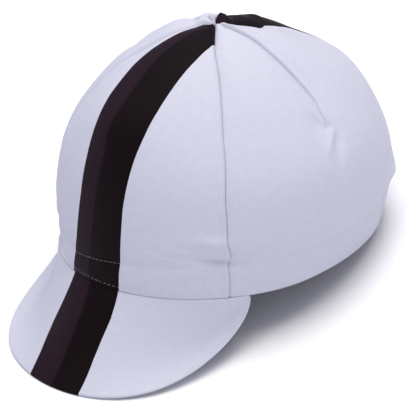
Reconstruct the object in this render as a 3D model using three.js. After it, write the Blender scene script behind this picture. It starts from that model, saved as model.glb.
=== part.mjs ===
// A cotton cycling cap with four crown panels, a band inside the rim and a soft peak, in millimetres.
// Every shape is worked out with the rim flat at z = 0, the front towards -Y and the wearer's left towards
// +X. Only at the end is the whole cap tipped onto the back of its rim and the front of its peak.
import * as THREE from "three";

// Rim and crown
const rimFront = 85; // from the widest part of the rim forwards
const rimBack = 115; // and backwards
const rimHalfWidth = 81;
const crownHeight = 119;
const crownLean = 9.5; // how far behind the rim's widest part the top lies
const cloth = 1.1; // crown wall, with its turned seams
const seamGap = 0.3; // between one panel and the next

// Seams, as angles round the cap from the middle of the front
const frontSeam = 50;
const backSeam = 132;
const dartAngle = 100;
const dartDepth = 1.3; // how far the dart pulls its cloth in
const dartWidth = 3; // from the dart's stitches to where the pull fades
const puff = 3.8; // how far the middle of a panel swells beyond its seams

// Hem and inner band
const hemPinchFront = 0.4; // how far the upper stitches pull the crown in at the front
const hemPinchBack = 1.4; // and at the back
const hemPinchWidth = 4;
const bandCloth = 1.2;
const bandGap = 0.3; // between the band and the crown
const bandHeight = 23; // its upper edge, over the rim
const bandLift = 0.8; // its lower edge

// Peak
const peakLength = 58; // down its middle
const peakSlope = 51.5; // of its middle, below the plane of the rim
const peakEnd = 61.5; // angle round the rim where the peak ends
const peakCorner = 0.38; // how square its front corners are
const peakReachPower = 1.25; // how late the outline runs forwards from the peak's ends
const peakFallPower = 0.6; // and how late it falls
const peakAside = -1.5; // how far its front lies towards the wearer's left
const peakSag = 8; // how far its sides hang below a straight line from the rim to the outline
const peakThickness = 2.4;
const peakGap = 0.3; // below the rim

// Rest
const pressed = 0.4; // how far the cloth gives where it carries the cap

// Facets
const hemRows = 5; // from the rim to the band's upper edge
const crownRows = 19; // and from there to the top
const frontColumns = 14;
const sideColumns = 20;
const peakColumns = 44;
const peakRows = 6;

// Seams round the crown. Wander names the column of the section table by which a seam turns, and way says
// whether it turns with the angle round the cap or against it.
const seams = {
  rightFront: { angle: -frontSeam, wander: "frontWander", way: -1 },
  leftFront: { angle: frontSeam, wander: "frontWander", way: 1 },
  leftBack: { angle: backSeam, wander: "backWander", way: 1 },
  rightBack: { angle: 360 - backSeam, wander: "backWander", way: -1 },
};

// Crown panels, each from one seam to the next.
const panels = [
  { name: "front_panel", from: seams.rightFront, to: seams.leftFront, columns: frontColumns },
  { name: "left_side_panel", from: seams.leftFront, to: seams.leftBack, columns: sideColumns },
  { name: "back_panel", from: seams.leftBack, to: seams.rightBack, columns: frontColumns },
  { name: "right_side_panel", from: seams.rightBack, to: seams.rightFront, columns: sideColumns },
];

// Crown sections from the rim to the top. The rise is an angle whose sine is the share of the crown's height,
// the reaches are shares of the rim's front, half width and back, and the wanders turn the seams, in degrees.
const crownSections = [
  { rise: 0, front: 1.0, side: 1.0, back: 1.0, frontWander: 4, backWander: -4 },
  { rise: 15, front: 0.97, side: 1.065, back: 1.0, frontWander: 0, backWander: -4 },
  { rise: 30, front: 0.91, side: 1.01, back: 0.905, frontWander: -1.5, backWander: 4 },
  { rise: 45, front: 0.77, side: 0.795, back: 0.757, frontWander: 0, backWander: 12 },
  { rise: 60, front: 0.54, side: 0.55, back: 0.468, frontWander: -0.5, backWander: 18 },
  { rise: 75, front: 0.285, side: 0.285, back: 0.245, frontWander: -4, backWander: 8 },
  { rise: 90, front: 0.0, side: 0.0, back: 0.0, frontWander: -4, backWander: 0 },
];

// Folds and dents. Around is an angle from the front, positive on the wearer's left, and rise an angle as in
// the sections. Long and wide are shares of the crown's height, swell is a share of the puff, and turn, where
// there is one, leans the long way over from upright.
const folds = [
  { name: "tuft of cloth behind the top", around: 176, rise: 86.5, long: 0.03, wide: 0.035, swell: 0.9 },
  { name: "tuft on the right of the top", around: -96, rise: 85.5, long: 0.04, wide: 0.05, swell: 0.8 },
  { name: "swell high on the right side", around: -95, rise: 74, long: 0.1, wide: 0.12, swell: 0.35 },
  { name: "hollow by the right front seam", around: -45, rise: 66, long: 0.12, wide: 0.08, swell: -0.35 },
  { name: "soft corner up the front", around: -5, rise: 43, long: 0.12, wide: 0.12, swell: 0.4 },
  { name: "dent by the left seam", around: 46, rise: 10, long: 0.03, wide: 0.09, swell: -0.4, turn: 12 },
  { name: "dent by the right seam", around: -44, rise: 12, long: 0.03, wide: 0.08, swell: -0.3, turn: -12 },
  { name: "pucker at the left dart", around: 98, rise: 33, long: 0.1, wide: 0.025, swell: -0.25, turn: 12 },
  { name: "pucker at the right dart", around: -101, rise: 33, long: 0.1, wide: 0.025, swell: -0.25, turn: -8 },
  { name: "dent before the left dart", around: 93, rise: 40, long: 0.05, wide: 0.03, swell: -0.2, turn: -15 },
  { name: "bulge over the left back hem", around: 133, rise: 14, long: 0.05, wide: 0.14, swell: 0.6 },
  { name: "pinch over the right front hem", around: -32, rise: 6, long: 0.06, wide: 0.14, swell: -0.6 },
];

// Height of the upper stitches over the rim, as a share of the band's height, by the angle from the middle of
// the front. They run lowest a little to the wearer's right of the middle.
const hemStitches = [
  { around: -180, share: 0.98 },
  { around: -60, share: 0.78 },
  { around: -25, share: 0.54 },
  { around: -11, share: 0.5 },
  { around: 12, share: 0.68 },
  { around: 51, share: 0.86 },
  { around: 137, share: 0.94 },
  { around: 180, share: 0.98 },
];

const radians = THREE.MathUtils.degToRad;
const degrees = THREE.MathUtils.radToDeg;
const clamp = THREE.MathUtils.clamp;

// Smooth value of one column of the section table at a rise in degrees.
function section(column, rise) {
  const step = crownSections[1].rise;
  const last = crownSections.length - 1;
  const i = clamp(Math.floor(rise / step), 0, last - 1);
  const at = (k) => {
    if (k < 0) return 2 * crownSections[0][column] - crownSections[1][column];
    if (k > last) return 2 * crownSections[last][column] - crownSections[last - 1][column];
    return crownSections[k][column];
  };
  const u = rise / step - i;
  const slopeHere = (at(i + 1) - at(i - 1)) / 2;
  const slopeNext = (at(i + 2) - at(i)) / 2;
  const rest = 1 - u;
  return (
    at(i) * (1 + 2 * u) * rest * rest +
    slopeHere * u * rest * rest +
    at(i + 1) * u * u * (3 - 2 * u) -
    slopeNext * u * u * rest
  );
}

// Angle away from the middle of the front, on either side.
function fromFront(around) {
  return Math.abs(THREE.MathUtils.euclideanModulo(around + 180, 360) - 180);
}

// From 0 at a panel's seams to 1 over its middle, flat across and steep beside the seams.
function lobe(angle, from, to) {
  const across = clamp((angle - from) / (to - from), 0, 1);
  return 1 - Math.pow(Math.abs(2 * across - 1), 2.5);
}

// Swelling of the panels between their seams, as a share of the puff. Above its end the dart parts the side
// panel in two.
function swelling(around, rise) {
  const angle = fromFront(around);
  const seam = frontSeam + section("frontWander", rise);
  const back = backSeam + section("backWander", rise);
  const low = Math.sqrt(Math.sin(radians(rise)));
  const high = Math.pow(Math.max(Math.cos(radians(rise)), 0), 0.35);
  if (angle < seam) return lobe(angle, -seam, seam) * low * high;
  if (angle > back) return lobe(angle, back, 360 - back) * low * high;
  const whole = lobe(angle, seam, back);
  const parted = angle < dartAngle ? lobe(angle, seam, dartAngle) : lobe(angle, dartAngle, back);
  const share = clamp((rise - 30) / 25, 0, 1);
  return (whole * (1 - share) + parted * share) * low * high;
}

// Groove of the darts, in millimetres.
function dartGroove(around, rise) {
  const reach = Math.cos(radians(rise)) * rimHalfWidth;
  const aside = radians(fromFront(around) - dartAngle) * reach;
  const share = clamp((rise - 38) / 12, 0, 1) * clamp((90 - rise) / 20, 0, 1);
  return -dartDepth * share * Math.exp(-Math.pow(aside / dartWidth, 2));
}

// Height of the upper stitches at an angle round the cap.
function hemHeight(around) {
  const angle = THREE.MathUtils.euclideanModulo(around + 180, 360) - 180;
  const i = hemStitches.findIndex((place) => place.around > angle);
  const [before, after] = [hemStitches[i - 1], hemStitches[i]];
  const along = (angle - before.around) / (after.around - before.around);
  return bandHeight * THREE.MathUtils.lerp(before.share, after.share, along);
}

// Pull of the upper stitches, in millimetres. They pull harder towards the back.
function hemPull(around, height) {
  const backwards = (1 - Math.cos(radians(around))) / 2;
  const pinch = THREE.MathUtils.lerp(hemPinchFront, hemPinchBack, backwards);
  return -pinch * Math.exp(-Math.pow((height - hemHeight(around)) / hemPinchWidth, 2));
}

// Sum of the folds at a place on the crown, in millimetres.
function foldRelief(around, rise) {
  const here = new THREE.Vector2(Math.cos(radians(rise)) * rimHalfWidth, radians(rise) * crownHeight);
  return folds.reduce((sum, fold) => {
    const apart = THREE.MathUtils.euclideanModulo(around - fold.around + 180, 360) - 180;
    const side = radians(apart) * here.x;
    const above = here.y - radians(fold.rise) * crownHeight;
    const turn = radians(fold.turn ?? 0);
    const along = above * Math.cos(turn) + side * Math.sin(turn);
    const across = side * Math.cos(turn) - above * Math.sin(turn);
    const long = along / (fold.long * crownHeight);
    const wide = across / (fold.wide * crownHeight);
    return sum + fold.swell * puff * Math.exp(-long * long - wide * wide);
  }, 0);
}

// Point of the crown's outer face, moved out by a distance, at an angle round it and a rise in degrees.
function crownPoint(around, rise, out = 0) {
  const forwards = Math.cos(radians(around));
  const reach = forwards > 0 ? rimFront : rimBack;
  const share = section(forwards > 0 ? "front" : "back", rise);
  const point = new THREE.Vector3(
    rimHalfWidth * section("side", rise) * Math.sin(radians(around)),
    -reach * share * forwards,
    crownHeight * Math.sin(radians(rise)),
  );
  const outward = new THREE.Vector3(
    point.x / (rimHalfWidth * rimHalfWidth),
    point.y / (reach * reach),
    point.z / (crownHeight * crownHeight),
  ).normalize();
  const relief =
    puff * swelling(around, rise) +
    dartGroove(around, rise) +
    foldRelief(around, rise) +
    hemPull(around, point.z);
  point.y += crownLean * Math.sin(radians(rise));
  return point.addScaledVector(outward, relief + out);
}

// Closed solid through sections that each hold an outer and an inner row of points. A ring joins its last
// section to its first, and anything else is closed at both ends.
function solid(sections, ring) {
  const positions = [];
  const known = new Map();
  const number = (point) => {
    const key = point.toArray().map((value) => Math.round(value * 5000)).join();
    if (!known.has(key)) {
      known.set(key, positions.length / 3);
      positions.push(...point.toArray());
    }
    return known.get(key);
  };
  const faces = [];
  const quad = (a, b, c, d) => {
    const [i, j, k, l] = [a, b, c, d].map(number);
    [[i, j, k], [i, k, l]].forEach((face) => {
      if (new Set(face).size === 3) faces.push(...face);
    });
  };
  const count = sections.length;
  const rows = sections[0].outer.length;
  for (let s = 0; s < (ring ? count : count - 1); s++) {
    const here = sections[s];
    const next = sections[(s + 1) % count];
    for (let i = 0; i < rows - 1; i++) {
      quad(here.outer[i], next.outer[i], next.outer[i + 1], here.outer[i + 1]);
      quad(here.inner[i], here.inner[i + 1], next.inner[i + 1], next.inner[i]);
    }
    quad(here.inner[0], next.inner[0], next.outer[0], here.outer[0]);
    quad(here.outer[rows - 1], next.outer[rows - 1], next.inner[rows - 1], here.inner[rows - 1]);
  }
  if (!ring) {
    const first = sections[0];
    const last = sections[count - 1];
    for (let i = 0; i < rows - 1; i++) {
      quad(first.inner[i], first.outer[i], first.outer[i + 1], first.inner[i + 1]);
      quad(last.outer[i], last.inner[i], last.inner[i + 1], last.outer[i + 1]);
    }
  }
  const geometry = new THREE.BufferGeometry();
  geometry.setAttribute("position", new THREE.Float32BufferAttribute(positions, 3));
  geometry.setIndex(faces);
  return geometry;
}

// Angle of a seam round the cap at a rise in degrees, on the turn that follows a given angle.
function seamAngle(seam, rise, after = -180) {
  const angle = seam.angle + seam.way * section(seam.wander, rise);
  return angle < after ? angle + 360 : angle;
}

// Rise of a height over the rim.
function riseAt(height) {
  return degrees(Math.asin(height / crownHeight));
}

// Crown panel between two seams. Its sides keep half the seam gap, and its last row draws together into a
// tip beside the top.
function panel({ from, to, columns }) {
  const lastRise = 88.4;
  const tipRise = 89.8;
  const bandRise = riseAt(bandHeight);
  const rises = [];
  for (let row = 0; row < hemRows; row++) rises.push(riseAt(bandHeight * row / hemRows));
  for (let row = 0; row <= crownRows; row++) {
    rises.push(THREE.MathUtils.lerp(bandRise, lastRise, row / crownRows));
  }
  const sections = [];
  for (let c = 0; c <= columns; c++) {
    const outer = [];
    const inner = [];
    rises.forEach((rise) => {
      const reach = rimHalfWidth * section("side", rise);
      const trim = degrees(Math.asin(seamGap / 2 / reach));
      const start = seamAngle(from, rise) + trim;
      const end = seamAngle(to, rise, start) - trim;
      const around = THREE.MathUtils.lerp(start, end, c / columns);
      outer.push(crownPoint(around, rise));
      inner.push(crownPoint(around, rise, -cloth));
    });
    const tipStart = seamAngle(from, tipRise);
    const middle = (tipStart + seamAngle(to, tipRise, tipStart)) / 2;
    outer.push(crownPoint(middle, tipRise));
    inner.push(crownPoint(middle, tipRise, -cloth));
    sections.push({ outer, inner });
  }
  return solid(sections, false);
}

// Band inside the rim, on the panels' own rows and columns, so that it lies evenly along them.
function sweatband() {
  const sections = [];
  panels.forEach(({ from, to, columns }) => {
    for (let c = 0; c < columns; c++) {
      const outer = [];
      const inner = [];
      for (let row = 0; row <= hemRows; row++) {
        const rise = riseAt(Math.max(bandHeight * row / hemRows, bandLift));
        const start = seamAngle(from, rise);
        const around = THREE.MathUtils.lerp(start, seamAngle(to, rise, start), c / columns);
        outer.push(crownPoint(around, rise, -cloth - bandGap));
        inner.push(crownPoint(around, rise, -cloth - bandGap - bandCloth));
      }
      sections.push({ outer, inner });
    }
  });
  return solid(sections, true);
}

// Point of the peak's outline. The station runs from -90 at the wearer's right end to 90 at the left end.
function peakOutline(station) {
  const end = crownPoint(peakEnd, 0);
  const front = crownPoint(0, 0);
  const slope = radians(peakSlope);
  const ahead = Math.max(Math.cos(radians(station)), 0);
  const tipY = front.y - peakLength * Math.cos(slope);
  const tipZ = -peakLength * Math.sin(slope);
  return new THREE.Vector3(
    end.x * Math.sin(radians(station)) * (1 + peakCorner * ahead * ahead) + peakAside * ahead,
    end.y + (tipY - end.y) * Math.pow(ahead, peakReachPower),
    tipZ * Math.pow(ahead, peakFallPower) - peakGap,
  );
}

// Peak: from the rim to its outline, hanging at its sides, with a rounded edge.
function peak() {
  const end = crownPoint(peakEnd, 0);
  const radius = peakThickness / 2;
  const sections = [];
  for (let c = 0; c <= peakColumns; c++) {
    const side = 2 * c / peakColumns - 1;
    const station = 90 * Math.sign(side) * (1 - Math.pow(1 - Math.abs(side), 1.6));
    const share = 1 - Math.pow(1 - Math.abs(station) / 90, 3);
    const root = crownPoint(Math.sign(station) * peakEnd * share, 0);
    root.z -= peakGap;
    const inward = new THREE.Vector3(-root.x / rimHalfWidth ** 2, -root.y / rimFront ** 2, 0).normalize();
    const under = inward.add(new THREE.Vector3(0, 0, -1)).normalize();
    const edge = peakOutline(station);
    const outward = edge.clone().sub(root);
    outward.add(edge.clone().sub(new THREE.Vector3(0, end.y, 0)).multiplyScalar(0.1));
    outward.addScaledVector(under, -outward.dot(under)).normalize();
    const outer = [];
    const inner = [];
    for (let row = 0; row <= peakRows; row++) {
      const down = row / peakRows;
      const sag = peakSag * Math.abs(Math.sin(radians(2 * station))) * 4 * down * (1 - down);
      const point = root.clone().lerp(edge, down).addScaledVector(under, sag);
      outer.push(point);
      inner.push(point.clone().addScaledVector(under, peakThickness));
    }
    const centre = edge.clone().addScaledVector(under, radius);
    [45, 90].forEach((angle) => {
      const out = radius * Math.sin(radians(angle));
      const over = radius * Math.cos(radians(angle));
      outer.push(centre.clone().addScaledVector(outward, out).addScaledVector(under, -over));
      inner.push(centre.clone().addScaledVector(outward, out).addScaledVector(under, over));
    });
    sections.unshift({ outer, inner });
  }
  return solid(sections, false);
}

// Turns and lowers the pieces together until the back of the rim and the front of the peak carry them, and
// flattens the cloth there. The origin ends up on the ground under the middle of the cap.
function rest(pieces) {
  const backFoot = crownPoint(180, 0);
  const places = pieces[pieces.length - 1].geometry.getAttribute("position");
  let tip = 0;
  for (let i = 0; i < places.count; i++) {
    tip = Math.max(tip, Math.atan2(-places.getZ(i), backFoot.y - places.getY(i)));
  }
  const box = new THREE.Box3();
  pieces.forEach(({ geometry }) => {
    geometry.rotateX(-tip);
    geometry.computeBoundingBox();
    box.union(geometry.boundingBox);
  });
  const middle = (box.min.y + box.max.y) / 2;
  pieces.forEach(({ geometry }) => {
    geometry.translate(0, -middle, -box.min.z - pressed);
    const position = geometry.getAttribute("position");
    for (let i = 0; i < position.count; i++) {
      position.setZ(i, Math.max(position.getZ(i), 0));
    }
    geometry.computeVertexNormals();
  });
}

const whiteCotton = { color: 0xdcdde8, roughness: 0.92, metalness: 0 };
const bandCotton = { color: 0xe3e3ea, roughness: 0.95, metalness: 0 };
const peakCotton = { color: 0xcdcfe0, roughness: 0.9, metalness: 0 };

const pieces = [
  ...panels.map((sizes) => ({ name: sizes.name, geometry: panel(sizes), look: whiteCotton })),
  { name: "sweatband", geometry: sweatband(), look: bandCotton },
  { name: "peak", geometry: peak(), look: peakCotton },
];
rest(pieces);

const cap = new THREE.Group();
pieces.forEach(({ name, geometry, look }) => {
  const mesh = new THREE.Mesh(geometry, new THREE.MeshStandardMaterial(look));
  mesh.name = name;
  cap.add(mesh);
});

export default cap;
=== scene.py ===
# A cotton cycling cap, at rest on the back of its rim and the front edge of its peak.
# Lengths are in millimetres until a mesh is made, and angles in degrees.
# The cap is shaped with its rim flat, and then tipped onto the ground.
import math

import bmesh
import bpy
import numpy as np
from mathutils import Matrix, Vector, noise


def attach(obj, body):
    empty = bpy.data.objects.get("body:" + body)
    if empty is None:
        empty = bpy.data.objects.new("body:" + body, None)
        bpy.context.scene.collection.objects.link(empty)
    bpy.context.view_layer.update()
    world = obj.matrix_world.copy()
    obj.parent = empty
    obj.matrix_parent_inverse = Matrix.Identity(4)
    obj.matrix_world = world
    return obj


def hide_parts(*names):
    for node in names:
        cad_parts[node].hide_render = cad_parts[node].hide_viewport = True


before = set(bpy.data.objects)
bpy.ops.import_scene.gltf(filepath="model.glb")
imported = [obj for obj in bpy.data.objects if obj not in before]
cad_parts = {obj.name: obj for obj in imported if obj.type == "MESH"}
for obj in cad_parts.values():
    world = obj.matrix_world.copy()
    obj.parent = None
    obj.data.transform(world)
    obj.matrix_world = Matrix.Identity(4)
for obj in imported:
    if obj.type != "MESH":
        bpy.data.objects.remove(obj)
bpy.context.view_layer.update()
bpy.ops.object.select_all(action="DESELECT")
mm = 0.001

# Camera: a long lens, from the front left and above. It sees what lies between near and far, in metres.
camera = {
    "azimuth": 50.388, "elevation": 31.738, "roll": -11.235,
    "target": (10.41, -5.965, 49.676), "distance": 1100, "lens": 178.26, "sensor": 36,
    "near": 0.05, "far": 20,
}


def makeCamera():
    azimuth, elevation, roll = (math.radians(camera[k]) for k in ("azimuth", "elevation", "roll"))
    back = Vector((
        math.sin(azimuth) * math.cos(elevation),
        -math.cos(azimuth) * math.cos(elevation),
        math.sin(elevation),
    ))
    level = Vector((math.cos(azimuth), math.sin(azimuth), 0))
    over = back.cross(level)
    right = level * math.cos(roll) + over * math.sin(roll)
    up = over * math.cos(roll) - level * math.sin(roll)
    place = Matrix((right, up, back)).transposed().to_4x4()
    place.translation = (Vector(camera["target"]) + back * camera["distance"]) * mm
    lens = bpy.data.cameras.new("camera")
    lens.lens = camera["lens"]
    lens.sensor_width = camera["sensor"]
    lens.clip_start = camera["near"]
    lens.clip_end = camera["far"]
    eye = bpy.data.objects.new("camera", lens)
    eye.matrix_world = place
    bpy.context.scene.collection.objects.link(eye)
    bpy.context.scene.camera = eye


makeCamera()
print("camera done")

# Crown: the same sizes as its solids have
crown = {
    "rimFront": 85, "rimBack": 115, "rimHalfWidth": 81, "height": 119, "lean": 9.5, "cloth": 1.1,
    "frontSeam": 50, "backSeam": 132, "dartDepth": 1.3, "dartWidth": 3, "puff": 3.8,
    "hemPinchFront": 0.4, "hemPinchBack": 1.4, "hemPinchWidth": 4,
    "puffPower": 2.5, "puffTopPower": 0.35, "partsFrom": 30, "partsOver": 25,
    "dartFadeIn": 12, "dartFadeOut": 20,
}
# Reach of the crown at each rise, as shares of its rim's sizes, and how far the seams wander, in degrees
crownSections = {
    "rise": (0, 15, 30, 45, 60, 75, 90),
    "front": (1.0, 0.97, 0.91, 0.77, 0.54, 0.285, 0.0),
    "side": (1.0, 1.065, 1.01, 0.795, 0.55, 0.285, 0.0),
    "back": (1.0, 1.0, 0.905, 0.757, 0.468, 0.245, 0.0),
    "wander": (4, 0, -1.5, 0, -0.5, -4, -4),
    "backWander": (-4, -4, 4, 12, 18, 8, 0),
}
# Way of the dart, as angles round the cap, from its lower end to the top
dartLine = {
    "rise": (38, 41.5, 44, 46, 50, 58, 66, 70, 75, 90),
    "around": (98.4, 98.9, 99.3, 100.2, 101, 101.7, 101.8, 102.5, 103.3, 104.5),
}
# Height of the upper stitches over the rim
hemStitches = {
    "around": (-180, -60, -25, -11, 12, 51, 137, 180),
    "height": (22.5, 17.9, 12.4, 11.5, 15.6, 19.8, 21.6, 22.5),
}
# Folds, by angle round the cap and rise, long up the cloth and wide across it as shares of the crown's
# height. Swell is a share of the puff, and turn leans a fold over.
folds = {
    "tuft behind the top": dict(around=176, rise=86.5, long=0.03, wide=0.035, swell=0.9),
    "tuft right of the top": dict(around=-96, rise=85.5, long=0.04, wide=0.05, swell=0.8),
    "swell high on the right": dict(around=-95, rise=74, long=0.1, wide=0.12, swell=0.35),
    "hollow by the right front seam": dict(around=-45, rise=66, long=0.12, wide=0.08, swell=-0.35),
    "soft corner up the front": dict(around=-5, rise=43, long=0.12, wide=0.12, swell=0.4),
    "dent by the left front seam": dict(around=46, rise=10, long=0.03, wide=0.09, turn=12, swell=-0.4),
    "dent by the right front seam": dict(around=-44, rise=12, long=0.03, wide=0.08, turn=-12, swell=-0.3),
    "pucker under the left dart": dict(around=98, rise=33, long=0.1, wide=0.025, turn=12, swell=-0.25),
    "pucker under the right dart": dict(around=-101, rise=33, long=0.1, wide=0.025, turn=-8, swell=-0.25),
    "dent before the left dart": dict(around=93, rise=40, long=0.05, wide=0.03, turn=-15, swell=-0.2),
    "bulge over the left back hem": dict(around=133, rise=14, long=0.05, wide=0.14, swell=0.6),
    "pinch over the right front hem": dict(around=-32, rise=6, long=0.06, wide=0.14, swell=-0.6),
}
# Finer folds, in the same terms
creases = {
    "bulge over the hem dent": dict(around=45, rise=15.5, long=0.026, wide=0.07, turn=8, swell=0.4),
    "fold under it": dict(around=47, rise=10.4, long=0.012, wide=0.065, turn=8, swell=-0.36),
    "lip under the fold": dict(around=46, rise=8.4, long=0.01, wide=0.07, turn=8, swell=0.2),
    "pucker over the front hem": dict(around=24, rise=12.8, long=0.006, wide=0.02, turn=8, swell=-0.12),
    "second pucker there": dict(around=29, rise=11.6, long=0.006, wide=0.03, turn=8, swell=-0.12),
    "third pucker there": dict(around=36, rise=13.6, long=0.008, wide=0.04, turn=10, swell=-0.1),
    "ridge under the left dart": dict(around=96, rise=36, long=0.065, wide=0.014, turn=38, swell=0.24),
    "hollow behind it": dict(around=99.5, rise=35, long=0.06, wide=0.022, turn=30, swell=-0.22),
    "dimple at the left dart's end": dict(around=99.2, rise=39.5, long=0.018, wide=0.022, swell=-0.25),
    "dent before it": dict(around=95, rise=41.5, long=0.045, wide=0.016, turn=-25, swell=-0.27),
    "ridge under the right dart": dict(around=-97, rise=35.5, long=0.06, wide=0.014, turn=-30, swell=0.2),
    "dimple at the right dart's end": dict(around=-99.4, rise=40, long=0.012, wide=0.02, swell=-0.2),
    "notch in the right front hem": dict(around=-41, rise=2, long=0.02, wide=0.16, swell=-1.1),
    "pinch in the left back hem": dict(around=132, rise=11.2, long=0.01, wide=0.03, swell=-0.4),
    "bulge over it": dict(around=131, rise=14.5, long=0.014, wide=0.05, swell=0.25),
    "dip behind the tuft": dict(around=-153, rise=75.5, long=0.04, wide=0.06, swell=-0.38),
    "corner of the ridge": dict(around=180, rise=74, long=0.03, wide=0.05, swell=0.25),
    "hollow behind the right tuft": dict(around=-114, rise=72.5, long=0.035, wide=0.045, swell=-0.55),
    "point of the charcoal tuft": dict(around=-158, rise=87, long=0.012, wide=0.015, swell=0.35),
    "hollow high on the right": dict(around=-77, rise=59, long=0.06, wide=0.08, swell=-0.42),
}


def mix(a, b, share):
    return a + (b - a) * share


def section(column, rise):  # smooth value of one column of the section table
    values = np.array(crownSections[column], float)
    values = np.concatenate([[2 * values[0] - values[1]], values, [2 * values[-1] - values[-2]]])
    step = crownSections["rise"][1]
    i = np.clip(np.floor(rise / step), 0, len(values) - 4).astype(int)
    u = rise / step - i
    before, here, there, after = (values[i + k] for k in range(4))
    rest = 1 - u
    return (
        here * (1 + 2 * u) * rest ** 2
        + (there - before) / 2 * u * rest ** 2
        + there * u ** 2 * (3 - 2 * u)
        - (after - here) / 2 * u ** 2 * rest
    )


def turned(angle):  # an angle brought between -180 and 180 degrees
    return (angle + 180) % 360 - 180


def lobe(angle, start, end):  # 0 at a panel's seams, 1 over its middle
    across = np.clip((angle - start) / (end - start), 0, 1)
    return 1 - np.abs(2 * across - 1) ** crown["puffPower"]


def dartAt(rise):  # angle round the cap
    return np.interp(rise, dartLine["rise"], dartLine["around"])


def swelling(around, rise):  # how far the cloth puffs out between its seams and darts, from 0 to 1
    angle = np.abs(turned(around))
    seam = crown["frontSeam"] + section("wander", rise)
    back = crown["backSeam"] + section("backWander", rise)
    dart = dartAt(rise)
    whole = lobe(angle, seam, back)
    parted = np.where(angle < dart, lobe(angle, seam, dart), lobe(angle, dart, back))
    share = np.clip((rise - crown["partsFrom"]) / crown["partsOver"], 0, 1)
    side = mix(whole, parted, share)
    bulge = np.where(angle < seam, lobe(angle, -seam, seam), side)
    bulge = np.where(angle > back, lobe(angle, back, 360 - back), bulge)
    low = np.sqrt(np.sin(np.radians(rise)))
    high = np.maximum(np.cos(np.radians(rise)), 0) ** crown["puffTopPower"]
    return bulge * low * high


def dartGroove(around, rise):
    reach = np.cos(np.radians(rise)) * crown["rimHalfWidth"]
    aside = np.radians(np.abs(turned(around)) - dartAt(rise)) * reach
    share = np.clip((rise - dartLine["rise"][0]) / crown["dartFadeIn"], 0, 1)
    share = share * np.clip((90 - rise) / crown["dartFadeOut"], 0, 1)
    return -crown["dartDepth"] * share * np.exp(-(aside / crown["dartWidth"]) ** 2)


def hemHeight(around):
    return np.interp(turned(around), hemStitches["around"], hemStitches["height"])


def hemPull(around, height):  # how far the upper stitches draw the cloth in
    backwards = (1 - np.cos(np.radians(around))) / 2
    pinch = mix(crown["hemPinchFront"], crown["hemPinchBack"], backwards)
    return -pinch * np.exp(-((height - hemHeight(around)) / crown["hemPinchWidth"]) ** 2)


def foldRelief(table, around, rise):  # how far the folds of a table push the cloth out
    reach = np.cos(np.radians(rise)) * crown["rimHalfWidth"]
    total = 0
    for fold in table.values():
        side = np.radians(turned(around - fold["around"])) * reach
        above = np.radians(rise - fold["rise"]) * crown["height"]
        turn = math.radians(fold.get("turn", 0))
        along = (above * math.cos(turn) + side * math.sin(turn)) / (fold["long"] * crown["height"])
        across = (side * math.cos(turn) - above * math.sin(turn)) / (fold["wide"] * crown["height"])
        total = total + fold["swell"] * crown["puff"] * np.exp(-along ** 2 - across ** 2)
    return total


def crownPoint(around, rise, out=0):  # points of the crown's outer face, moved outwards
    around, rise = np.broadcast_arrays(np.asarray(around, float), np.asarray(rise, float))
    forwards = np.cos(np.radians(around))
    ahead = forwards > 0
    reach = np.where(ahead, crown["rimFront"], crown["rimBack"])
    share = np.where(ahead, section("front", rise), section("back", rise))
    points = np.stack([
        crown["rimHalfWidth"] * section("side", rise) * np.sin(np.radians(around)),
        -reach * share * forwards,
        crown["height"] * np.sin(np.radians(rise)),
    ], axis=-1)
    outward = np.stack([
        points[..., 0] / crown["rimHalfWidth"] ** 2,
        points[..., 1] / reach ** 2,
        points[..., 2] / crown["height"] ** 2,
    ], axis=-1)
    outward /= np.linalg.norm(outward, axis=-1, keepdims=True)
    relief = (
        crown["puff"] * swelling(around, rise)
        + dartGroove(around, rise)
        + foldRelief(folds, around, rise)
        + hemPull(around, points[..., 2])
    )
    points[..., 1] += crown["lean"] * np.sin(np.radians(rise))
    return points + outward * (relief + out)[..., None]


def riseAt(height):
    return np.degrees(np.arcsin(height / crown["height"]))


# Peak: the same sizes as its solid has
peakSizes = {
    "length": 58, "slope": 51.5, "end": 61.5, "corner": 0.38, "reachPower": 1.25, "fallPower": 0.6,
    "aside": -1.5, "sag": 8, "thickness": 2.4, "gap": 0.3, "rootPower": 3, "spread": 0.1,
}


def peakOutline(station):  # outer edge, from -90 and 90 at the ends to 0 at the front
    end = crownPoint(peakSizes["end"], 0)
    front = crownPoint(0, 0)
    slope = math.radians(peakSizes["slope"])
    sine = np.sin(np.radians(station))
    ahead = np.maximum(np.cos(np.radians(station)), 0)
    tipY = front[1] - peakSizes["length"] * math.cos(slope)
    tipZ = -peakSizes["length"] * math.sin(slope)
    return np.stack([
        end[0] * sine * (1 + peakSizes["corner"] * ahead ** 2) + peakSizes["aside"] * ahead,
        end[1] + (tipY - end[1]) * ahead ** peakSizes["reachPower"],
        tipZ * ahead ** peakSizes["fallPower"] - peakSizes["gap"],
    ], axis=-1)


def unit(vectors):
    return vectors / np.linalg.norm(vectors, axis=-1, keepdims=True)


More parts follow.
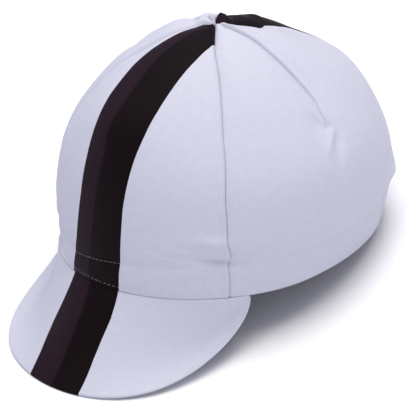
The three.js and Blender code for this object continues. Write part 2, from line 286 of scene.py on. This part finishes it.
def peakGrid(stations, downs):  # upper face from the rim to the outline, with its ways under and outwards
    station, down = np.meshgrid(stations, downs, indexing="ij")
    share = 1 - (1 - np.abs(station) / 90) ** peakSizes["rootPower"]
    root = crownPoint(np.sign(station) * peakSizes["end"] * share, 0)
    root[..., 2] -= peakSizes["gap"]
    inward = unit(np.stack([
        -root[..., 0] / crown["rimHalfWidth"] ** 2,
        -root[..., 1] / crown["rimFront"] ** 2,
        np.zeros_like(station),
    ], axis=-1))
    under = unit(inward + np.array([0, 0, -1]))
    edge = peakOutline(station)
    sag = peakSizes["sag"] * np.abs(np.sin(np.radians(2 * station))) * 4 * down * (1 - down)
    face = mix(root, edge, down[..., None]) + under * sag[..., None]
    hub = np.array([0, crownPoint(peakSizes["end"], 0)[1], 0])
    outward = edge - root + (edge - hub) * peakSizes["spread"]
    outward = unit(outward - under * np.sum(outward * under, axis=-1, keepdims=True))
    return face, under, outward


# Rest: how the cap tips and comes down onto the ground, and how far it presses into it
pressed = 0.4


def findRest():  # turn and shift, from the lowest places of the peak and the crown
    face, under, outward = peakGrid(np.linspace(-90, 90, 91), np.linspace(0, 1, 31))
    shapes = [face + under * peakSizes["thickness"]]
    rim = face[:, -1] + under[:, -1] * peakSizes["thickness"] / 2
    for angle in (45, 90):
        bend = math.radians(angle)
        spread = outward[:, -1] * math.sin(bend) + under[:, -1] * math.cos(bend)
        shapes.append(rim + spread * peakSizes["thickness"] / 2)
    low = np.concatenate([s.reshape(-1, 3) for s in shapes])
    foot = crownPoint(180, 0)
    tip = np.max(np.arctan2(-low[:, 2], foot[1] - low[:, 1]))
    turn = np.array(Matrix.Rotation(-tip, 3, "X"))
    around, rise = np.meshgrid(np.linspace(0, 359, 360), np.linspace(0, 90, 91))
    wall = crownPoint(around, rise).reshape(-1, 3)
    every = np.concatenate([low, wall]) @ turn.T
    middle = (every[:, 1].min() + every[:, 1].max()) / 2
    return turn, np.array([0, -middle, -every[:, 2].min() - pressed])


restTurn, restShift = findRest()


def putDown(points):  # tipped and moved, with what would sink pressed flat on the ground
    placed = points @ restTurn.T + restShift
    placed[..., 2] = np.maximum(placed[..., 2], 0)
    return placed


print("rest", restShift, "turn", math.degrees(math.asin(restTurn[2][1])))


# Meshes
def gridMesh(name, points, maps, weld=0.002):  # a sheet through rows and columns of points
    rows, columns = points.shape[:2]
    numbers = np.arange(rows * columns).reshape(rows, columns)
    faces = np.stack([numbers[:-1, :-1], numbers[:-1, 1:], numbers[1:, 1:], numbers[1:, :-1]], axis=-1)
    faces = faces.reshape(-1, 4)
    mesh = bpy.data.meshes.new(name)
    mesh.from_pydata((putDown(points) * mm).reshape(-1, 3).tolist(), [], faces.tolist())
    for key, values in maps.items():
        layer = mesh.uv_layers.new(name=key)
        layer.data.foreach_set("uv", values.reshape(-1, 2)[faces.ravel()].astype(np.float32).ravel())
    piece = bpy.data.objects.new(name, mesh)
    bpy.context.scene.collection.objects.link(piece)
    shape = bmesh.new()
    shape.from_mesh(mesh)
    bmesh.ops.remove_doubles(shape, verts=shape.verts, dist=weld * mm)
    shape.to_mesh(mesh)
    shape.free()
    return piece


def finishPiece(piece, modifiers):  # adds each modifier and applies it
    bpy.ops.object.select_all(action="DESELECT")
    piece.select_set(True)
    bpy.context.view_layer.objects.active = piece
    for kind, settings in modifiers:
        modifier = piece.modifiers.new(kind.lower(), kind)
        for key, value in settings.items():
            setattr(modifier, key, value)
        bpy.ops.object.modifier_apply(modifier=modifier.name)
    bpy.ops.object.shade_smooth()
    piece.select_set(False)


def clothWall(thickness, edge):  # gives a sheet its wall inwards, with softened edges
    return [
        ("SOLIDIFY", dict(thickness=thickness * mm, offset=-1, use_rim=True)),
        ("BEVEL", dict(width=edge * mm, segments=2, limit_method="ANGLE", angle_limit=math.radians(50))),
    ]


def ringSpeed(around, rise):  # millimetres along the cloth for each radian round the cap
    width = crown["rimHalfWidth"] * section("side", rise)
    depth = np.where(
        np.cos(np.radians(around)) > 0,
        crown["rimFront"] * section("front", rise),
        crown["rimBack"] * section("back", rise),
    )
    return np.hypot(width * np.cos(np.radians(around)), depth * np.sin(np.radians(around)))


def ripple(points, length, seed):  # soft waves over the points, from about -1 to 1
    offset = Vector((seed * 7.3, seed * 3.1, seed * 5.7))
    flat = points.reshape(-1, 3)
    waves = [noise.noise(Vector(p) / length + offset) for p in flat]
    return np.array(waves).reshape(points.shape[:-1])


# Seams of the crown. Way says to which side a seam wanders. Kink is how far the upper stitches drag it
# aside, and step is how far it jumps near the top.
seams = {
    "rightFront": dict(angle=-50, wander="wander", way=-1, kink=0, step=0),
    "leftFront": dict(angle=50, wander="wander", way=1, kink=1.1, step=0),
    "leftBack": dict(angle=132, wander="backWander", way=1, kink=0, step=-14),
    "rightBack": dict(angle=228, wander="backWander", way=-1, kink=0, step=0),
}
# Panels between two seams each. Over says at which of its seams a panel laps over the next one, and
# dartShare where the dart parts its columns.
panels = {
    "front_panel": dict(start="rightFront", end="leftFront", over=(False, True), dartShare=None),
    "left_side_panel": dict(start="leftFront", end="leftBack", over=(False, True), dartShare=0.61),
    "back_panel": dict(start="leftBack", end="rightBack", over=(False, False), dartShare=None),
    "right_side_panel": dict(start="rightBack", end="rightFront", over=(True, True), dartShare=0.39),
}
panelFinish = {
    "columns": 120, "crowding": 0.75, "rimHeights": (0, 0.12, 0.3, 0.55, 0.9, 1.4),
    "hemStart": 1.9, "hemTop": 27, "hemRows": 34, "crownRows": 126, "rimRoll": 0.3, "edge": 0.25,
    "groove": 0.5, "grooveWidth": 0.45, "ridge": 0.5, "ridgeAt": 1.5, "ridgeWidth": 0.9,
    "recess": 0.35, "recessWidth": 2.2, "drift": 0.18, "longDrift": 11, "shortDrift": 23,
    "kinkRise": 12, "kinkLength": 2.1, "stepRise": 75.3, "stepLength": 0.3,
    "dartGroove": 1.4, "dartGrooveWidth": 0.55, "dartLip": 0.5, "dartLipAt": 1.4, "dartLipWidth": 0.9,
    "dartFadeIn": 4, "dartFadeOut": 6,
    "stitchDepth": 0.12, "stitchWidth": 0.7, "rimStitches": 2.2,
    "slack": 0.35, "slackLength": 34, "slackSeed": 20,
}
# Puckers of the cloth beside its seams, along the upper stitches and round the top
puckers = {
    "seam": dict(depth=0.16, length=7, reach=6, seed=0),
    "hem": dict(depth=0.24, length=8, reach=8, seed=11),
    "top": dict(depth=0.5, length=5, reach=13, seed=40),
}
# Edges of the stripe and the line between its two tones, from the middle, by rise
frontStripe = {
    "at": (0, 5, 10, 22, 35, 42, 50, 60, 68, 78, 90),
    "right": (-18.9, -18.2, -16.5, -15.7, -16.7, -16.6, -18, -16.6, -14, -8.7, -2),
    "tone": (-4.6, -5.2, -3.4, -3.1, -3.1, -4.5, -3.8, -3.4, -3.2, -1.2, 0),
    "left": (17.2, 17.2, 17.6, 16.8, 17.4, 18.2, 18.2, 17.6, 17, 14.5, 14.5),
}
backStripe = {
    "at": (0, 40, 55, 62, 68.5, 72.5, 75, 76, 83, 84.5, 90),
    "right": (-18, -18, -18, -18, -18, -18, -16, -16, -16, -16, -16),
    "tone": (-12, -12, -12, -12, -12, -12, -10, -9, -8, 6, 8),
    "left": (13, 11, 10, 11, 13.6, 13.4, 13, 20, 20, 20, 20),
}


def stripePlace(across, along, lines):  # -1 and 1 at the stripe's edges, 0 at the line between its tones
    right, tone, left = (np.interp(along, lines["at"], lines[k]) for k in ("right", "tone", "left"))
    return np.where(across < tone, (across - tone) / (tone - right), (across - tone) / (left - tone))


def crowded(count, stops, amount):  # shares from 0 to 1 that lie closer together beside each stop
    shares = []
    for low, high in zip(stops[:-1], stops[1:]):
        steps = round(count * (high - low))
        u = np.arange(steps) / steps
        shares.append(low + (high - low) * (u - amount * np.sin(2 * np.pi * u) / (2 * np.pi)))
    return np.concatenate(shares + [[1.0]])


def seamLine(name, rise):  # angle of a seam round the cap, with its small drifts
    seam = seams[name]
    drift = np.sin(np.radians(rise * panelFinish["longDrift"] + seam["angle"]))
    drift = drift + np.sin(np.radians(rise * panelFinish["shortDrift"]))
    kink = np.exp(-((rise - panelFinish["kinkRise"]) / panelFinish["kinkLength"]) ** 2)
    step = (1 + np.tanh((rise - panelFinish["stepRise"]) / panelFinish["stepLength"])) / 2
    fade = np.cos(np.radians(rise))
    return (
        seam["angle"] + seam["way"] * section(seam["wander"], rise)
        + panelFinish["drift"] * drift * fade + seam["kink"] * kink + seam["step"] * step
    )


def seamRelief(fromSeam, over):  # a groove, beside a lip on the panel that laps over the other
    relief = -panelFinish["groove"] * np.exp(-fromSeam / panelFinish["grooveWidth"])
    if over:
        aside = (fromSeam - panelFinish["ridgeAt"]) / panelFinish["ridgeWidth"]
        return relief + panelFinish["ridge"] * np.exp(-aside ** 2)
    return relief - panelFinish["recess"] * np.exp(-fromSeam / panelFinish["recessWidth"])


def dartRelief(around, rise, speed):  # a narrow groove with a lip along its back
    behind = np.radians(np.abs(turned(around)) - dartAt(rise)) * speed
    share = np.clip((rise - dartLine["rise"][0]) / panelFinish["dartFadeIn"], 0, 1)
    share = share * np.clip((90 - rise) / panelFinish["dartFadeOut"], 0, 1)
    groove = panelFinish["dartGroove"] * np.exp(-(behind / panelFinish["dartGrooveWidth"]) ** 2)
    lip = np.exp(-((behind - panelFinish["dartLipAt"]) / panelFinish["dartLipWidth"]) ** 2)
    return share * (panelFinish["dartLip"] * lip - groove)


def puckered(kind, away, points, shift=0):  # waves that die out away from what draws the cloth in
    pucker = puckers[kind]
    near = np.exp(-(away / pucker["reach"]) ** 2)
    return pucker["depth"] * near * ripple(points, pucker["length"], pucker["seed"] + shift)


def clothRelief(around, rise, plain):  # stitches, puckers, slack and the finer folds
    height = crown["height"] * np.sin(np.radians(rise))
    fromHem = height - hemHeight(around)
    fromTop = np.radians(90 - rise) * crown["rimHalfWidth"]
    relief = -panelFinish["rimRoll"] * np.exp(-height / panelFinish["rimRoll"])
    for away in (fromHem, height - panelFinish["rimStitches"]):
        relief = relief - panelFinish["stitchDepth"] * np.exp(-(away / panelFinish["stitchWidth"]) ** 2)
    relief += puckered("hem", fromHem, plain)
    relief += puckered("top", fromTop, plain)
    relief += panelFinish["slack"] * ripple(plain, panelFinish["slackLength"], panelFinish["slackSeed"])
    return relief + foldRelief(creases, around, rise)


def clothPoint(around, rise, out=0):  # points of the cloth's face, without its seams and darts
    relief = clothRelief(around, rise, crownPoint(around, rise))
    return crownPoint(around, rise, relief + out)


def makePanel(name, number, start, end, over, dartShare):
    stops = (0, 1) if dartShare is None else (0, dartShare, 1)
    shares = crowded(panelFinish["columns"], stops, panelFinish["crowding"])
    hem = np.linspace(panelFinish["hemStart"], panelFinish["hemTop"], panelFinish["hemRows"])
    heights = np.concatenate([panelFinish["rimHeights"], hem])
    rises = np.concatenate([
        riseAt(heights),
        np.linspace(riseAt(panelFinish["hemTop"]), 90, panelFinish["crownRows"])[1:],
    ])
    share, rise = np.meshgrid(shares, rises)
    first = seamLine(start, rise)
    last = seamLine(end, rise)
    last = np.where(last < first, last + 360, last)
    around = mix(first, last, share)
    if dartShare is not None:
        dart = dartAt(rise) if first[0, 0] < 180 else 360 - dartAt(rise)
        before = mix(first, dart, share / dartShare)
        behind = mix(dart, last, (share - dartShare) / (1 - dartShare))
        around = np.where(share < dartShare, before, behind)
    plain = crownPoint(around, rise)
    speed = ringSpeed(around, rise)
    relief = clothRelief(around, rise, plain)
    for aside, laps in zip((around - first, last - around), over):
        fromSeam = np.radians(aside) * speed
        relief += puckered("seam", fromSeam, plain, number)
        relief += seamRelief(fromSeam, laps)
    if dartShare is not None:
        relief += dartRelief(around, rise, speed)
    points = crownPoint(around, rise, relief)
    arc = np.radians(around - np.mean(around[0])) * speed
    climb = np.cumsum(np.linalg.norm(np.diff(plain, axis=0, prepend=plain[:1]), axis=-1), axis=0)
    cloth = np.stack([arc, climb], axis=-1) * mm
    lines = backStripe if name == "back_panel" else frontStripe
    band = np.stack([stripePlace(plain[..., 0], rise, lines), climb * mm], axis=-1)
    piece = gridMesh(name + "_cloth", points, {"cloth": cloth, "stripe": band})
    finishPiece(piece, clothWall(crown["cloth"], panelFinish["edge"]))
    return piece


crownPieces = {}
for panelName, sizes in panels.items():
    crownPieces[panelName] = makePanel(panelName, number=len(crownPieces) + 1, **sizes)
print("panels done", [len(p.data.polygons) for p in crownPieces.values()])

# Band inside the rim, with its sizes as its solid has them
bandSizes = {"cloth": 1.2, "gap": 0.3, "height": 23, "lift": 0.8, "edge": 0.4, "columns": 360, "rows": 30}


def makeBand():
    around, height = np.meshgrid(
        np.linspace(0, 360, bandSizes["columns"] + 1),
        np.linspace(bandSizes["lift"], bandSizes["height"], bandSizes["rows"]),
    )
    rise = riseAt(height)
    inwards = crown["cloth"] + bandSizes["gap"]
    points = crownPoint(around, rise, foldRelief(creases, around, rise) - inwards)
    speed = ringSpeed(around, rise)
    cloth = np.stack([np.radians(around) * speed, height], axis=-1) * mm
    piece = gridMesh("sweatband_cloth", points, {"cloth": cloth})
    finishPiece(piece, clothWall(bandSizes["cloth"], bandSizes["edge"]))
    return piece


band = makeBand()
print("band done", len(band.data.polygons))

# Peak
peakFinish = {
    "columns": 150, "crowding": 1.6, "rows": 60, "edgeSteps": 10, "rootRise": 0.5,
    "slack": 0.25, "slackLength": 30, "slackSeed": 30,
}
# Edges of its stripe and the line between the tones, from the middle, by the share of the way to its edge
peakStripe = {
    "at": (0, 0.1, 0.25, 0.4, 0.5, 0.65, 0.8, 1),
    "right": (-18, -18.2, -18.7, -19.2, -19.4, -18.6, -16.9, -15),
    "tone": (-4.4, -2.4, 0, 0.9, 1.4, 2, 2.5, 3),
    "left": (16.6, 17.4, 18.1, 17.9, 18, 18.5, 19.7, 21.4),
}


def makePeak():  # upper face from the rim outwards, round the edge, and back along the underside
    u = np.linspace(-1, 1, peakFinish["columns"] + 1)
    stations = 90 * np.sign(u) * (1 - (1 - np.abs(u)) ** peakFinish["crowding"])
    downs = np.linspace(0, 1, peakFinish["rows"] + 1)
    face, under, outward = peakGrid(stations, downs)
    thickness = peakSizes["thickness"]
    waves = ripple(face, peakFinish["slackLength"], peakFinish["slackSeed"])
    slack = peakFinish["slack"] * waves * np.sin(np.pi * downs)
    face = face - under * slack[..., None]
    face[..., 2] += peakFinish["rootRise"] * np.exp(-downs * peakSizes["length"])
    turns = np.radians(np.linspace(0, 180, peakFinish["edgeSteps"] + 1))[1:-1]
    centre = face[:, -1] + under[:, -1] * thickness / 2
    rounds = [
        centre + (outward[:, -1] * math.sin(t) - under[:, -1] * math.cos(t)) * thickness / 2 for t in turns
    ]
    below = (face + under * thickness)[:, ::-1]
    points = np.concatenate([face, np.stack(rounds, axis=1), below, face[:, :1]], axis=1)
    down = np.concatenate([downs, np.ones(len(turns)), downs[::-1], [0]])
    down = np.broadcast_to(down, points.shape[:2])
    length = np.cumsum(np.linalg.norm(np.diff(points, axis=1, prepend=points[:, :1]), axis=-1), axis=1)
    toEdge = length[:, len(downs) + len(turns) // 2][:, None] - length
    cloth = np.stack([points[..., 0], -length], axis=-1) * mm
    place = np.stack([stripePlace(points[..., 0], down, peakStripe), toEdge * mm], axis=-1)
    points, cloth, place = (np.swapaxes(grid, 0, 1)[::-1] for grid in (points, cloth, place))
    piece = gridMesh("peak_cloth", points, {"cloth": cloth, "stripe": place})
    finishPiece(piece, [])
    return piece


peak = makePeak()
print("peak done", len(peak.data.polygons))

# Stitches: the upper row holds the band to the crown, the lower one runs just over the rim
stitching = {
    "pitch": 3.1, "length": 2.2, "thick": 0.11, "proud": 0.01, "sides": 6, "rings": 5,
    "routePoints": 1441, "step": 0.5,
}


def makeStitch():  # one thread along X, thin at its ends
    bpy.ops.mesh.primitive_uv_sphere_add(
        segments=stitching["sides"], ring_count=stitching["rings"], radius=0.5, location=(0, 0, 0),
    )
    stitch = bpy.context.active_object
    bpy.ops.object.mode_set(mode="EDIT")
    bpy.ops.mesh.select_all(action="SELECT")
    turn = math.radians(90)
    bpy.ops.transform.rotate(value=turn, orient_axis="Y", center_override=(0, 0, 0))
    sizes = (stitching["length"], stitching["thick"], stitching["thick"])
    bpy.ops.transform.resize(value=sizes, center_override=(0, 0, 0))
    bpy.ops.object.mode_set(mode="OBJECT")
    return stitch


def makeRow(name, stitch, heightAt):  # copies of the stitch along the crown, joined into one piece
    corners = np.array([v.co for v in stitch.data.vertices])
    faces = [tuple(p.vertices) for p in stitch.data.polygons]
    fine = np.linspace(0, 360, stitching["routePoints"])
    route = clothPoint(fine, riseAt(heightAt(fine)), stitching["proud"])
    length = np.concatenate([[0], np.cumsum(np.linalg.norm(np.diff(route, axis=0), axis=-1))])
    count = round(length[-1] / stitching["pitch"])
    middles = np.interp((np.arange(count) + 0.5) / count * length[-1], length, fine)
    step = stitching["step"]
    height = heightAt(middles)
    here = clothPoint(middles, riseAt(height), stitching["proud"])
    after = clothPoint(middles + step, riseAt(heightAt(middles + step)))
    before = clothPoint(middles - step, riseAt(heightAt(middles - step)))
    along = unit(after - before)
    upwards = clothPoint(middles, riseAt(height + step)) - clothPoint(middles, riseAt(height))
    outward = unit(np.cross(along, upwards))
    aside = np.cross(outward, along)
    points = (
        here[:, None] + corners[None, :, 0:1] * along[:, None]
        + corners[None, :, 1:2] * aside[:, None] + corners[None, :, 2:3] * outward[:, None]
    )
    numbers = [tuple(i + k * len(corners) for i in face) for k in range(count) for face in faces]
    mesh = bpy.data.meshes.new(name)
    mesh.from_pydata((putDown(points.reshape(-1, 3)) * mm).tolist(), [], numbers)
    row = bpy.data.objects.new(name, mesh)
    bpy.context.scene.collection.objects.link(row)
    finishPiece(row, [])
    return row


def rimHeight(around):
    return np.full_like(around, panelFinish["rimStitches"])


stitch = makeStitch()
rows = [makeRow("hem_stitches", stitch, hemHeight), makeRow("rim_stitches", stitch, rimHeight)]
bpy.data.objects.remove(stitch)
print("stitches done", [len(r.data.polygons) for r in rows])


# Materials
class Maths:  # a socket whose sums, products and comparisons add their own Math nodes
    def __init__(self, tree, socket):
        self.tree = tree
        self.socket = socket

    def join(self, operation, first, second):
        node = self.tree.nodes.new("ShaderNodeMath")
        node.operation = operation
        for slot, value in zip(node.inputs, (first, second)):
            if isinstance(value, Maths):
                self.tree.links.new(value.socket, slot)
            else:
                slot.default_value = value
        return Maths(self.tree, node.outputs[0])

    def __add__(self, other):
        return self.join("ADD", self, other)

    def __mul__(self, other):
        return self.join("MULTIPLY", self, other)

    def __gt__(self, other):
        return self.join("GREATER_THAN", self, other)

    def __lt__(self, other):
        return self.join("LESS_THAN", self, other)

    __radd__ = __add__
    __rmul__ = __mul__

    def sine(self):
        return self.join("SINE", self, 0)


class Finish:  # a material with a method that adds any node
    def __init__(self, name):
        self.material = bpy.data.materials.new(name)
        self.material.use_nodes = True
        self.tree = self.material.node_tree
        self.tree.nodes.clear()

    def node(self, kind, settings, values):
        node = self.tree.nodes.new("ShaderNode" + kind)
        for key, value in settings.items():
            setattr(node, key, value)
        for key, value in values.items():
            if isinstance(value, Maths):
                self.tree.links.new(value.socket, node.inputs[key])
            elif isinstance(value, bpy.types.NodeSocket):
                self.tree.links.new(value, node.inputs[key])
            else:
                node.inputs[key].default_value = value
        return node

    def maths(self, node, output=0):
        return Maths(self.tree, node.outputs[output])

    def blend(self, factor, first, second):  # mixes two colours
        return self.node("Mix", dict(data_type="RGBA"), {0: factor, 6: first, 7: second}).outputs[2]


# Cloth: a plain weave in its own map, with a stripe where the piece has one
clothFinish = {
    "white": (0.548, 0.553, 0.634, 1), "shade": (0.5, 0.505, 0.588, 1),
    "charcoal": (0.0145, 0.0055, 0.011, 1), "black": (0.002, 0, 0.0002, 1),
    # Painted sheen: a lighter dark colour, spread in grains over the stripe, and how much of it
    "sheenGrains": (0.016, 0.009, 0.013, 1), "sheenGrainShare": 0.3,
    # Painted shade: a grey line along the rim and round the peak's edge, where the rolled edge turns from
    # the light, and its width
    "edge": (0.4, 0.4, 0.46, 1), "edgeWidth": 0.6,
    "patches": dict(Scale=260, Detail=6), "slubs": dict(Scale=900, Detail=2),
    "thread": 0.45, "weaveDepth": 0.06, "weaveShare": 0.5, "slubShare": 0.8, "bump": 0.5,
    "roughness": 0.6, "sheen": 0.005, "sheenRoughness": 0.5, "specular": 0.07,
}


def makeCloth(name, striped):
    finish = Finish(name)
    place = finish.node("UVMap", dict(uv_map="cloth"), {})
    parts = finish.node("SeparateXYZ", {}, {"Vector": place.outputs[0]})
    pitch = 2 * math.pi / (clothFinish["thread"] * mm)
    warp = (finish.maths(parts, 0) * pitch).sine()
    weft = (finish.maths(parts, 1) * pitch).sine()
    flat = dict(noise_dimensions="2D")
    slubs = finish.node("TexNoise", flat, {"Vector": place.outputs[0], **clothFinish["slubs"]})
    patches = finish.node("TexNoise", flat, {"Vector": place.outputs[0], **clothFinish["patches"]})
    colour = finish.blend(finish.maths(patches), clothFinish["white"], clothFinish["shade"])
    if striped:
        lines = finish.node("UVMap", dict(uv_map="stripe"), {})
        spot = finish.node("SeparateXYZ", {}, {"Vector": lines.outputs[0]})
        across, toEdge = finish.maths(spot, 0), finish.maths(spot, 1)
        edgeWidth = clothFinish["edgeWidth"] * mm
        # Painted shade: the cloth turns grey in a thin line along the rim and the peak's edge
        paintedEdgeShade = (toEdge < edgeWidth) * (toEdge > -edgeWidth)
        colour = finish.blend(paintedEdgeShade, colour, clothFinish["edge"])
        inside = (across > -1) * (across < 1) * (toEdge > -edgeWidth)
        dark = finish.blend(across > 0, clothFinish["charcoal"], clothFinish["black"])
        # Painted sheen: noise lays lighter grains over the charcoal and the black
        dark = finish.blend(finish.maths(slubs) * clothFinish["sheenGrainShare"], dark, clothFinish["sheenGrains"])
        colour = finish.blend(inside, colour, dark)
    height = warp * weft * clothFinish["weaveShare"] + finish.maths(slubs) * clothFinish["slubShare"]
    depth = clothFinish["weaveDepth"] * mm
    bump = finish.node("Bump", {}, {
        "Strength": clothFinish["bump"], "Distance": depth, "Height": height,
    })
    shader = finish.node("BsdfPrincipled", {}, {
        "Base Color": colour, "Roughness": clothFinish["roughness"], "Normal": bump.outputs[0],
        "Sheen Weight": clothFinish["sheen"], "Sheen Roughness": clothFinish["sheenRoughness"],
        "Specular IOR Level": clothFinish["specular"],
    })
    finish.node("OutputMaterial", {}, {"Surface": shader.outputs[0]})
    return finish.material


# Thread: plied cotton, pale enough to show on the stripe
threadFinish = {
    "colour": (0.5, 0.495, 0.56, 1), "ply": 9000, "depth": 0.03, "bump": 0.5,
    "roughness": 0.8, "specular": 0.1,
}


def makeThread():
    finish = Finish("thread")
    place = finish.node("TexCoord", {}, {})
    twist = finish.node("TexNoise", {}, {"Vector": place.outputs["Object"], "Scale": threadFinish["ply"]})
    bump = finish.node("Bump", {}, {
        "Strength": threadFinish["bump"], "Distance": threadFinish["depth"] * mm,
        "Height": finish.maths(twist),
    })
    shader = finish.node("BsdfPrincipled", {}, {
        "Base Color": threadFinish["colour"], "Roughness": threadFinish["roughness"],
        "Normal": bump.outputs[0], "Specular IOR Level": threadFinish["specular"],
    })
    finish.node("OutputMaterial", {}, {"Surface": shader.outputs[0]})
    return finish.material


stripedCotton = makeCloth("striped_cotton", True)
plainCotton = makeCloth("plain_cotton", False)
thread = makeThread()
for panelName, piece in crownPieces.items():
    striped = panelName in ("front_panel", "back_panel")
    piece.data.materials.append(stripedCotton if striped else plainCotton)
band.data.materials.append(plainCotton)
peak.data.materials.append(stripedCotton)
for row in rows:
    row.data.materials.append(thread)
print("materials done")

# What each piece stands for
for panelName, piece in crownPieces.items():
    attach(piece, "root")
    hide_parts(panelName)
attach(band, "root")
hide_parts("sweatband")
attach(peak, "root")
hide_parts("peak")
for row in rows:
    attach(row, "root")

# Floor and light, in metres and watts
studio = {
    "floor": (0.92, 0.92, 0.92, 1), "floorSize": 12, "floorRoughness": 0.9,
    "world": (0.79, 0.795, 1.0, 1), "worldStrength": 0.66, "aim": (0, 0, 0.06),
    "top": dict(place=(0.08, 0.12, 1.58), size=1.4, power=25, colour=(1, 0.98, 0.88)),
    "side": dict(place=(1.3, -0.6, 0.5), size=1, power=1.6, colour=(1, 0.99, 0.95)),
    "back": dict(place=(0, 1.31, 0.92), size=1.2, power=2, colour=(1, 0.99, 0.93)),
}


def makeStudio():
    bpy.ops.mesh.primitive_plane_add(size=studio["floorSize"], location=(0, 0, 0))
    floor = bpy.context.active_object
    floor.name = "floor"
    finish = Finish("pale_floor")
    shader = finish.node("BsdfPrincipled", {}, {
        "Base Color": studio["floor"], "Roughness": studio["floorRoughness"],
    })
    finish.node("OutputMaterial", {}, {"Surface": shader.outputs[0]})
    floor.data.materials.append(finish.material)
    world = bpy.data.worlds.new("studio")
    world.use_nodes = True
    ground = world.node_tree.nodes["Background"]
    ground.inputs["Color"].default_value = studio["world"]
    ground.inputs["Strength"].default_value = studio["worldStrength"]
    bpy.context.scene.world = world
    for key in ("top", "side", "back"):
        light = bpy.data.lights.new(key + "_light", "AREA")
        light.size = studio[key]["size"]
        light.energy = studio[key]["power"]
        light.color = studio[key]["colour"]
        lamp = bpy.data.objects.new(key + "_light", light)
        lamp.location = studio[key]["place"]
        towards = Vector(studio["aim"]) - lamp.location
        lamp.rotation_euler = towards.to_track_quat("-Z", "Y").to_euler()
        bpy.context.scene.collection.objects.link(lamp)


makeStudio()
bpy.context.scene.view_settings.view_transform = "Standard"
print("studio done")
